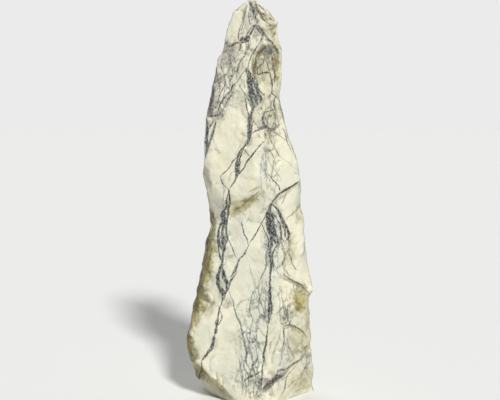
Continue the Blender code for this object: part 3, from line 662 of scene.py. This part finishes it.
def vein_group(name, profile, veins):
    """All the veins of one colour. Each route becomes a curve: sideways place against height, or
    the other way round for a vein that runs more level than upright."""
    tree, given, result = new_group(name, {"Across": "Float", "Up": "Float", "Thickness": "Float"}, "Dark")
    darkest = 0.0
    for half_width, strength, route in veins:
        points = [on_stone(*pixel) for pixel in route]
        xs = [point.x for point in points]
        zs = [point.z for point in points]
        upright = max(zs) - min(zs) >= max(xs) - min(xs)
        along, aside = (zs, xs) if upright else (xs, zs)
        pairs = sorted(zip(along, aside))
        start, end = pairs[0][0], pairs[-1][0]
        low = min(aside) - PIXEL
        span = max(aside) + PIXEL - low
        lean = sum(math.dist(p, q) for p, q in zip(pairs, pairs[1:])) / (end - start)
        run = add_node(
            tree, "Math",
            {0: given["Up" if upright else "Across"], 1: 1 / (end - start), 2: start / (start - end)},
            operation="MULTIPLY_ADD",
        )
        run = add_node(tree, "CombineColor", {"Red": run, "Green": run, "Blue": run})
        curve_node = add_node(tree, "RGBCurve", {"Color": run})
        curve_node.mapping.extend = "HORIZONTAL"
        places = [((a - start) / (end - start), (b - low) / span) for a, b in pairs]
        for curve, shape in zip(curve_node.mapping.curves, (places, TAPER, PRESENCE)):
            curve.points[0].location = shape[0]
            curve.points[1].location = shape[-1]
            for spot in shape[1:-1]:
                curve.points.new(*spot)
        curve_node.mapping.update()
        darkest = add_node(
            tree, "Group",
            {"Route": curve_node, "Aside": given["Across" if upright else "Up"],
             "Low": low, "Span": span, "Half Width": half_width * PIXEL * lean,
             "Thickness": given["Thickness"], "Strength": strength, "Darkest": darkest},
            node_tree=profile,
        )
    tree.links.new(darkest.outputs["Dark"], result)
    return tree


def soft_stain():
    """The shared shape of a stain: full in the middle, torn at the edge."""
    tree, given, result = new_group(
        "soft_stain",
        {"Across": "Float", "Up": "Float", "Ragged": "Float", "Wide From X": "Float", "Wide From Z": "Float",
         "Wide Start": "Float", "Tall From X": "Float", "Tall From Z": "Float", "Tall Start": "Float",
         "Strength": "Float", "Strongest": "Float"},
        "Stain",
    )
    reach = []
    for side in ("Wide", "Tall"):
        off = add_node(
            tree, "Math", {0: given["Across"], 1: given[side + " From X"], 2: given[side + " Start"]},
            operation="MULTIPLY_ADD",
        )
        off = add_node(
            tree, "Math", {0: given["Up"], 1: given[side + " From Z"], 2: off}, operation="MULTIPLY_ADD"
        )
        reach.append(off)
    far = add_node(tree, "Math", {0: reach[1], 1: reach[1]}, operation="MULTIPLY")
    far = add_node(tree, "Math", {0: reach[0], 1: reach[0], 2: far}, operation="MULTIPLY_ADD")
    far = add_node(tree, "Math", {0: far}, operation="SQRT")
    far = add_node(tree, "Math", {0: far, 1: given["Ragged"]}, operation="ADD")
    stain = add_node(tree, "MapRange", {0: far, 1: 0.30, 2: 1.40, 3: 1.0, 4: 0.0}, **SOFT)
    stain = add_node(tree, "Math", {0: stain, 1: given["Strength"]}, operation="MULTIPLY")
    stain = add_node(tree, "Math", {0: stain, 1: given["Strongest"]}, operation="MAXIMUM")
    tree.links.new(stain.outputs[0], result)
    return tree


def stain_group(name, shape, stains):
    """All the stains of one colour."""
    tree, given, result = new_group(name, {"Across": "Float", "Up": "Float", "Ragged": "Float"}, "Stain")
    strongest = 0.0
    for x, y, half_width, half_height, lean, strength in stains:
        middle = on_stone(x, y)
        turn = math.radians(lean)
        wide = Vector((math.cos(turn), math.sin(turn))) / (half_width * PIXEL)
        tall = Vector((-math.sin(turn), math.cos(turn))) / (half_height * PIXEL)
        strongest = add_node(
            tree, "Group",
            {"Across": given["Across"], "Up": given["Up"], "Ragged": given["Ragged"],
             "Wide From X": wide.x, "Wide From Z": wide.y, "Wide Start": -wide.dot(middle.xz),
             "Tall From X": tall.x, "Tall From Z": tall.y, "Tall Start": -tall.dot(middle.xz),
             "Strength": strength, "Strongest": strongest},
            node_tree=shape,
        )
    tree.links.new(strongest.outputs["Stain"], result)
    return tree


def split_marble():
    """Cream metamorphic marble, broken and not polished: a dull sugary skin with dark veins of graphite,
    iron-brown and purple seams, and olive weathering. Painted shade darkens the dips, the left flank, the
    undersides of the ledges and lines under the ledges, and a painted highlight lightens the arrises."""
    material = bpy.data.materials.new("split_veined_marble")
    material.use_nodes = True
    tree = material.node_tree
    shader = tree.nodes["Principled BSDF"]
    object_place = add_node(tree, "TexCoord").outputs["Object"]

    # Veins waver: the whole pattern is pushed about by up to 8 mm, in lumps 45 mm across
    sway = add_node(
        tree, "TexNoise", {"Vector": object_place, "Scale": 1 / 0.045, "Detail": 3.0, "Roughness": 0.55}
    ).outputs["Color"]
    sway = add_node(tree, "VectorMath", {0: sway, 1: (0.5, 0.5, 0.5)}, operation="SUBTRACT")
    place = add_node(
        tree, "VectorMath", {0: sway, 1: (0.016, 0.0, 0.016), 2: object_place}, operation="MULTIPLY_ADD"
    )
    parts = add_node(tree, "SeparateXYZ", {0: place}).outputs
    object_y = add_node(tree, "SeparateXYZ", {0: object_place}).outputs["Y"]
    facing = add_node(tree, "Attribute", attribute_name="facing_front").outputs["Fac"]
    # The front: the nearer half of the stone, where its skin looks forwards
    nearer = add_node(tree, "MapRange", {0: object_y, 1: -0.005, 2: 0.040, 3: 1.0, 4: 0.0}, **SOFT)
    forwards = add_node(tree, "MapRange", {0: facing, 1: 0.42, 2: 0.16, 3: 1.0, 4: 0.0}, **SOFT)
    front = add_node(tree, "Math", {0: nearer, 1: forwards}, operation="MULTIPLY")

    # Veins swell and thin by about half along their run, every 28 mm or so
    swell = add_node(
        tree, "TexNoise", {"Vector": object_place, "Scale": 1 / 0.028, "Detail": 3.0, "Roughness": 0.55}
    )
    thickness = add_node(
        tree, "MapRange", {"Value": swell, "From Min": 0.3, "From Max": 0.7, "To Min": 0.70, "To Max": 1.6}
    )
    # The edge of a stain is torn, not round
    torn = add_node(
        tree, "TexNoise", {"Vector": object_place, "Scale": 1 / 0.018, "Detail": 6.0, "Roughness": 0.7}
    )
    ragged = add_node(
        tree, "MapRange", {"Value": torn, "From Min": 0.3, "From Max": 0.7, "To Min": -0.5, "To Max": 0.5}
    )
    # On the flanks the stains run back for about a hand and end unevenly
    uneven = add_node(
        tree, "TexNoise", {"Vector": object_place, "Scale": 1 / 0.09, "Detail": 3.0, "Roughness": 0.55}
    )
    stain_end = add_node(tree, "Math", {0: object_y, 1: 0.20}, operation="SUBTRACT")
    stain_end = add_node(tree, "Math", {0: uneven, 1: 0.40, 2: stain_end}, operation="MULTIPLY_ADD")
    stain_end = add_node(tree, "Math", {0: ragged, 1: 0.04, 2: stain_end}, operation="MULTIPLY_ADD")
    front_and_flanks = add_node(tree, "MapRange", {0: stain_end, 1: -0.02, 2: 0.08, 3: 1.0, 4: 0.0}, **SOFT)
    # Light grains break every vein up, so that a wide one looks braided
    strands = add_node(tree, "VectorMath", {0: place, 1: (1.0, 1.0, 0.45)}, operation="MULTIPLY")
    strands = add_node(
        tree, "TexNoise", {"Vector": strands, "Scale": 1 / 0.0042, "Detail": 2.0, "Roughness": 0.6}
    )
    braid = add_node(tree, "MapRange", {0: strands, 1: 0.45, 2: 0.60, 3: 1.0, 4: 0.0}, **SOFT)
    braid = add_node(tree, "Math", {0: braid, 1: 0.52, 2: 0.48}, operation="MULTIPLY_ADD")

    # Stains are blotchy, in patches a finger wide
    blotches = add_node(
        tree, "TexNoise", {"Vector": object_place, "Scale": 1 / 0.016, "Detail": 5.0, "Roughness": 0.65}
    )
    mottle = add_node(tree, "MapRange", {0: blotches, 1: 0.60, 2: 0.42, 3: 1.0, 4: 0.0}, **SOFT)
    mottle = add_node(tree, "Math", {0: mottle, 1: 0.35, 2: 0.65}, operation="MULTIPLY_ADD")

    profile = vein_profile()
    shape = soft_stain()

    def all_veins(name, veins):
        """How dark the veins of one colour are, broken into strands and kept to the front."""
        dark = add_node(
            tree, "Group", {"Across": parts["X"], "Up": parts["Z"], "Thickness": thickness},
            node_tree=vein_group(name, profile, veins),
        )
        dark = add_node(tree, "Math", {0: dark, 1: braid}, operation="MULTIPLY")
        return add_node(tree, "Math", {0: dark, 1: front}, operation="MULTIPLY")

    def all_stains(name, stains):
        """How strong the stains of one colour are, blotched and run back over the flanks."""
        stain = add_node(
            tree, "Group", {"Across": parts["X"], "Up": parts["Z"], "Ragged": ragged},
            node_tree=stain_group(name, shape, stains),
        )
        stain = add_node(tree, "Math", {0: stain, 1: mottle}, operation="MULTIPLY")
        return add_node(tree, "Math", {0: stain, 1: front_and_flanks}, operation="MULTIPLY")

    # Body of the stone: ivory, with greyer drifts a hand wide and warmer and greener patches
    drift = add_node(
        tree, "TexNoise", {"Vector": object_place, "Scale": 1 / 0.20, "Detail": 4.0, "Roughness": 0.55}
    )
    patch = add_node(
        tree, "TexNoise", {"Vector": object_place, "Scale": 1 / 0.05, "Detail": 5.0, "Roughness": 0.6}
    )
    body = add_node(tree, "RGB")
    body.outputs[0].default_value = linear("#F0ECD3")
    greyer = add_node(tree, "MapRange", {0: drift, 1: 0.42, 2: 0.56, 3: 1.0, 4: 0.0}, **SOFT)
    body = add_node(tree, "Mix", {0: greyer, 6: body, 7: linear("#E3E1CA")}, data_type="RGBA")
    warmer = add_node(tree, "MapRange", {0: patch, 1: 0.62, 2: 0.50, 3: 1.0, 4: 0.0}, **SOFT)
    warmer = add_node(tree, "Math", {0: warmer, 1: 0.40}, operation="MULTIPLY")
    body = add_node(tree, "Mix", {0: warmer, 6: body, 7: linear("#ECE5C4")}, data_type="RGBA")
    greener = add_node(tree, "MapRange", {0: patch, 1: 0.36, 2: 0.47, 3: 1.0, 4: 0.0}, **SOFT)
    greener = add_node(tree, "Math", {0: greener, 1: 0.30}, operation="MULTIPLY")
    body = add_node(tree, "Mix", {0: greener, 6: body, 7: linear("#DEDCC5")}, data_type="RGBA")

    # Sides and back: the same veins, as a mesh of sheets drawn out upwards through the stone. The
    # big cells are 13 cm across and the small ones 4 cm.
    behind = add_node(tree, "Math", {0: 1.0, 1: front}, operation="SUBTRACT")
    wander = add_node(
        tree, "TexNoise", {"Vector": object_place, "Scale": 1 / 0.22, "Detail": 3.0, "Roughness": 0.55}
    ).outputs["Color"]
    drawn_out = add_node(
        tree, "VectorMath", {0: wander, 1: (0.07, 0.07, 0.10), 2: place}, operation="MULTIPLY_ADD"
    )
    drawn_out = add_node(tree, "VectorMath", {0: drawn_out, 1: (1.0, 1.0, 0.26)}, operation="MULTIPLY")
    big_cells = add_node(
        tree, "TexVoronoi", {"Vector": drawn_out, "Scale": 7.5, "Randomness": 1.0}, feature="DISTANCE_TO_EDGE"
    )
    small_cells = add_node(
        tree, "TexVoronoi", {"Vector": drawn_out, "Scale": 24.0, "Randomness": 1.0},
        feature="DISTANCE_TO_EDGE",
    )
    where_thick = add_node(tree, "MapRange", {0: drift, 1: 0.52, 2: 0.44, 3: 1.0, 4: 0.0}, **SOFT)
    edge = add_node(tree, "Math", {0: thickness, 1: 0.034}, operation="MULTIPLY")
    edge = add_node(tree, "Math", {0: big_cells, 1: edge}, operation="DIVIDE")
    big_veins = add_node(tree, "MapRange", {0: edge, 1: 0.3, 2: 1.0, 3: 1.0, 4: 0.0}, **SOFT)
    broken = add_node(
        tree, "TexNoise", {"Vector": place, "Scale": 1 / 0.09, "Detail": 2.0, "Roughness": 0.55}
    )
    broken = add_node(tree, "MapRange", {0: broken, 1: 0.52, 2: 0.42, 3: 1.0, 4: 0.0}, **SOFT)
    broken = add_node(tree, "Math", {0: broken, 1: 0.65, 2: 0.35}, operation="MULTIPLY_ADD")
    big_veins = add_node(tree, "Math", {0: big_veins, 1: broken}, operation="MULTIPLY")
    edge = add_node(tree, "Math", {0: thickness, 1: 0.050}, operation="MULTIPLY")
    edge = add_node(tree, "Math", {0: small_cells, 1: edge}, operation="DIVIDE")
    fine_veins = add_node(tree, "MapRange", {0: edge, 1: 0.2, 2: 1.0, 3: 1.0, 4: 0.0}, **SOFT)
    fine_where = add_node(tree, "MapRange", {0: patch, 1: 0.56, 2: 0.46, 3: 1.0, 4: 0.0}, **SOFT)
    fine_where = add_node(tree, "Math", {0: fine_where, 1: 0.62}, operation="MULTIPLY")
    fine_veins = add_node(tree, "Math", {0: fine_veins, 1: fine_where}, operation="MULTIPLY")
    back_slate = add_node(tree, "Math", {0: big_veins, 1: fine_veins}, operation="MAXIMUM")
    back_slate = add_node(tree, "Math", {0: back_slate, 1: behind}, operation="MULTIPLY")
    back_slate = add_node(tree, "Math", {0: back_slate, 1: braid}, operation="MULTIPLY")

    # Hairlines of the front, meshed and drawn out upwards, in their zones. The wide mesh is 31 mm
    # across and the close one 17 mm.
    upright = add_node(tree, "VectorMath", {0: place, 1: (1.0, 1.0, 0.34)}, operation="MULTIPLY")
    wide_mesh = add_node(
        tree, "TexVoronoi", {"Vector": upright, "Scale": 32.0, "Randomness": 1.0}, feature="DISTANCE_TO_EDGE"
    )
    close_mesh = add_node(
        tree, "TexVoronoi", {"Vector": upright, "Scale": 58.0, "Randomness": 1.0}, feature="DISTANCE_TO_EDGE"
    )
    hairlines = add_node(tree, "MapRange", {0: wide_mesh, 1: 0.022, 2: 0.105, 3: 1.0, 4: 0.0}, **SOFT)
    close_lines = add_node(tree, "MapRange", {0: close_mesh, 1: 0.03, 2: 0.16, 3: 1.0, 4: 0.0}, **SOFT)
    close_where = add_node(tree, "MapRange", {0: patch, 1: 0.56, 2: 0.46, 3: 1.0, 4: 0.0}, **SOFT)
    close_lines = add_node(tree, "Math", {0: close_lines, 1: close_where}, operation="MULTIPLY")
    hairlines = add_node(tree, "Math", {0: hairlines, 1: close_lines}, operation="MAXIMUM")
    in_zones = all_stains("hairline_zones", HAIRLINE_ZONES)
    hairlines = add_node(tree, "Math", {0: hairlines, 1: in_zones}, operation="MULTIPLY")
    hairlines = add_node(tree, "Math", {0: hairlines, 1: braid}, operation="MULTIPLY")

    # Colours laid on from the softest to the darkest: blue-grey mist, two clouds of which are painted shade
    # on faces that look down
    mist = all_stains("mist_clouds", MIST_CLOUDS)
    back_mist = add_node(tree, "Math", {0: where_thick, 1: behind}, operation="MULTIPLY")
    back_mist = add_node(tree, "Math", {0: back_mist, 1: 0.5}, operation="MULTIPLY")
    mist = add_node(tree, "Math", {0: mist, 1: back_mist}, operation="MAXIMUM")
    body = add_node(tree, "Mix", {0: mist, 6: body, 7: linear("#CFD3CC")}, data_type="RGBA")
    # Olive weathering, with painted shade on the left flank, the undercut foot, the right foot and under the
    # middle ledge, and a deeper olive in blotches inside it
    back_olive = add_node(tree, "MapRange", {0: drift, 1: 0.60, 2: 0.48, 3: 1.0, 4: 0.0}, **SOFT)
    back_olive = add_node(tree, "Math", {0: back_olive, 1: behind}, operation="MULTIPLY")
    back_olive = add_node(tree, "Math", {0: back_olive, 1: 0.55}, operation="MULTIPLY")
    olive = all_stains("olive_stains_and_shade", OLIVE_STAINS_AND_SHADE)
    olive = add_node(tree, "Math", {0: olive, 1: back_olive}, operation="MAXIMUM")
    olive = add_node(tree, "Math", {0: olive, 1: 1.45}, operation="MULTIPLY")
    body = add_node(tree, "Mix", {0: olive, 6: body, 7: linear("#B4A968")}, data_type="RGBA")
    deep_where = add_node(tree, "MapRange", {0: patch, 1: 0.40, 2: 0.56, 3: 1.0, 4: 0.0}, **SOFT)
    deep_olive = add_node(tree, "Math", {0: olive, 1: 0.95}, operation="MULTIPLY")
    deep_olive = add_node(tree, "Math", {0: deep_olive, 1: deep_where}, operation="MULTIPLY")
    body = add_node(tree, "Mix", {0: deep_olive, 6: body, 7: linear("#7F743C")}, data_type="RGBA")
    # Grime and painted crease shade in the dips, and a painted highlight on the clean pale arrises
    dip_depth = add_node(tree, "Attribute", attribute_name="dip").outputs["Fac"]
    grime_and_shade_in_dip = add_node(tree, "MapRange", {0: dip_depth, 1: 0.0014, 2: 0.0004, 3: 1.0, 4: 0.0}, **SOFT)
    painted_highlight_on_arris = add_node(tree, "MapRange", {0: dip_depth, 1: -0.0018, 2: -0.0005, 3: 1.0, 4: 0.0}, **SOFT)
    grime_and_shade_in_dip = add_node(tree, "Math", {0: grime_and_shade_in_dip, 1: 0.60}, operation="MULTIPLY")
    body = add_node(tree, "Mix", {0: grime_and_shade_in_dip, 6: body, 7: linear("#9C9570")}, data_type="RGBA")
    painted_highlight_on_arris = add_node(tree, "Math", {0: painted_highlight_on_arris, 1: 0.40}, operation="MULTIPLY")
    body = add_node(tree, "Mix", {0: painted_highlight_on_arris, 6: body, 7: linear("#F6F3E0")}, data_type="RGBA")
    # Rust, and the plum and slate clouds that the veins lie in
    rust = all_stains("rust_stains", RUST_STAINS)
    rust = add_node(tree, "Math", {0: rust, 1: 0.85}, operation="MULTIPLY")
    body = add_node(tree, "Mix", {0: rust, 6: body, 7: linear("#6B5534")}, data_type="RGBA")
    plum_clouds = all_stains("plum_clouds", PLUM_CLOUDS)
    plum_clouds = add_node(tree, "Math", {0: plum_clouds, 1: braid}, operation="MULTIPLY")
    body = add_node(tree, "Mix", {0: plum_clouds, 6: body, 7: linear("#62555B")}, data_type="RGBA")
    slate_clouds = all_stains("slate_clouds", SLATE_CLOUDS)
    slate_clouds = add_node(tree, "Math", {0: slate_clouds, 1: 0.85}, operation="MULTIPLY")
    body = add_node(tree, "Mix", {0: slate_clouds, 6: body, 7: linear("#646A6C")}, data_type="RGBA")
    # Veins, from the half-buried ones to the nearly black
    mist_veins = all_veins("mist_veins", MIST_VEINS)
    body = add_node(tree, "Mix", {0: mist_veins, 6: body, 7: linear("#6C777A")}, data_type="RGBA")
    body = add_node(tree, "Mix", {0: hairlines, 6: body, 7: linear("#424A4C")}, data_type="RGBA")
    # Umber veins, and brown lines of painted ledge shadow
    umber_veins_and_ledge_shade = all_veins("umber_veins_and_ledge_shade", UMBER_VEINS_AND_LEDGE_SHADE)
    body = add_node(tree, "Mix", {0: umber_veins_and_ledge_shade, 6: body, 7: linear("#5D4B30")}, data_type="RGBA")
    plum_veins = all_veins("plum_veins", PLUM_VEINS)
    body = add_node(tree, "Mix", {0: plum_veins, 6: body, 7: linear("#483B42")}, data_type="RGBA")
    slate_veins = all_veins("slate_veins", SLATE_VEINS)
    slate_veins = add_node(tree, "Math", {0: slate_veins, 1: back_slate}, operation="MAXIMUM")
    body = add_node(tree, "Mix", {0: slate_veins, 6: body, 7: linear("#2B3238")}, data_type="RGBA")

    # Crystals: pale sugar grains, drawn 6 mm across, coarser than life so that they show
    grain = add_node(
        tree, "TexNoise", {"Vector": object_place, "Scale": 1 / 0.006, "Detail": 2.0, "Roughness": 0.6}
    )
    speckle = add_node(tree, "MapRange", {0: grain, 1: 0.66, 2: 0.52, 3: 1.0, 4: 0.0}, **SOFT)
    speckle = add_node(tree, "Math", {0: speckle, 1: 0.18}, operation="MULTIPLY")
    body = add_node(tree, "Mix", {0: speckle, 6: body, 7: linear("#F6F3E4")}, data_type="RGBA")
    tree.links.new(body.outputs[2], shader.inputs["Base Color"])

    # Broken marble is dull, and a little glossier on the clean faces of its crystals
    dull = add_node(
        tree, "MapRange", {"Value": grain, "From Min": 0.3, "From Max": 0.7, "To Min": 0.70, "To Max": 0.50}
    )
    tree.links.new(dull.outputs["Result"], shader.inputs["Roughness"])
    shader.inputs["IOR"].default_value = 1.49

    # Shell ripples 22 mm across, pits 7 mm apart and sugar grain
    ripples = add_node(
        tree, "TexNoise", {"Vector": object_place, "Scale": 1 / 0.022, "Detail": 5.0, "Roughness": 0.6}
    )
    pits = add_node(
        tree, "TexVoronoi", {"Vector": object_place, "Scale": 150.0, "Randomness": 1.0}, feature="F1"
    )
    ripple_bump = add_node(tree, "Bump", {"Strength": 0.60, "Distance": 0.005, "Height": ripples})
    pit_bump = add_node(
        tree, "Bump", {"Strength": 0.25, "Distance": 0.0015, "Height": pits, "Normal": ripple_bump}
    )
    grain_bump = add_node(
        tree, "Bump", {"Strength": 0.35, "Distance": 0.0015, "Height": grain, "Normal": pit_bump}
    )
    tree.links.new(grain_bump.outputs[0], shader.inputs["Normal"])
    return material


stone.data.materials.clear()
stone.data.materials.append(split_marble())
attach(stone, "root")
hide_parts("marble_block")

# Floor and light
# A plain white studio floor and backdrop, soft light from all round, a softened lamp high in
# front and a little to the right, and one behind that lights the floor and the back.
FLOOR_HALF = 30.0
SKY_LIGHT = 0.14
BACKDROP_WHITE = 0.832

bpy.ops.mesh.primitive_plane_add(size=FLOOR_HALF * 2, location=(0.0, 0.0, 0.0))
floor = bpy.context.active_object
floor.name = "studio_floor"
floor_paint = bpy.data.materials.new("white_floor_paint")
floor_paint.use_nodes = True
floor_shader = floor_paint.node_tree.nodes["Principled BSDF"]
# The floor looks white, and throws back less light than that, so that ledges keep their shade
seen_floor = add_node(floor_paint.node_tree, "LightPath").outputs["Is Camera Ray"]
floor_tone = add_node(
    floor_paint.node_tree, "Mix", {0: seen_floor, 6: linear("#D6D6D4"), 7: linear("#F7F7F5")},
    data_type="RGBA",
)
floor_paint.node_tree.links.new(floor_tone.outputs[2], floor_shader.inputs["Base Color"])
floor_shader.inputs["Roughness"].default_value = 0.9
floor_shader.inputs["Specular IOR Level"].default_value = 0.0
floor.data.materials.append(floor_paint)


def sun(name, strength, softness, azimuth, height):
    """A soft sun: azimuth 0 is in front of the stone, 90 at its right. Angles are in degrees."""
    light = bpy.data.lights.new(name, "SUN")
    light.energy = strength
    light.angle = math.radians(softness)
    lamp = bpy.data.objects.new(name, light)
    bpy.context.scene.collection.objects.link(lamp)
    a, h = math.radians(azimuth), math.radians(height)
    comes_from = Vector((math.sin(a) * math.cos(h), -math.cos(a) * math.cos(h), math.sin(h)))
    lamp.rotation_euler = comes_from.to_track_quat("Z", "Y").to_euler()


sun("key_in_front", strength=2.75, softness=8, azimuth=19, height=37)
sun("fill_from_behind", strength=1.1, softness=60, azimuth=200, height=42)

world = bpy.data.worlds.new("studio")
bpy.context.scene.world = world
world.use_nodes = True
sky = world.node_tree.nodes["Background"]
sky.inputs["Color"].default_value = linear("#FFFFFF")
# The backdrop itself is lit to white, and is brighter than the light that it gives the stone
seen_directly = add_node(world.node_tree, "LightPath").outputs["Is Camera Ray"]
sky_strength = add_node(
    world.node_tree, "MapRange", {"Value": seen_directly, "To Min": SKY_LIGHT, "To Max": BACKDROP_WHITE}
)
world.node_tree.links.new(sky_strength.outputs["Result"], sky.inputs["Strength"])
bpy.context.scene.view_settings.view_transform = "Standard"
bpy.context.scene.view_settings.exposure = 0.0
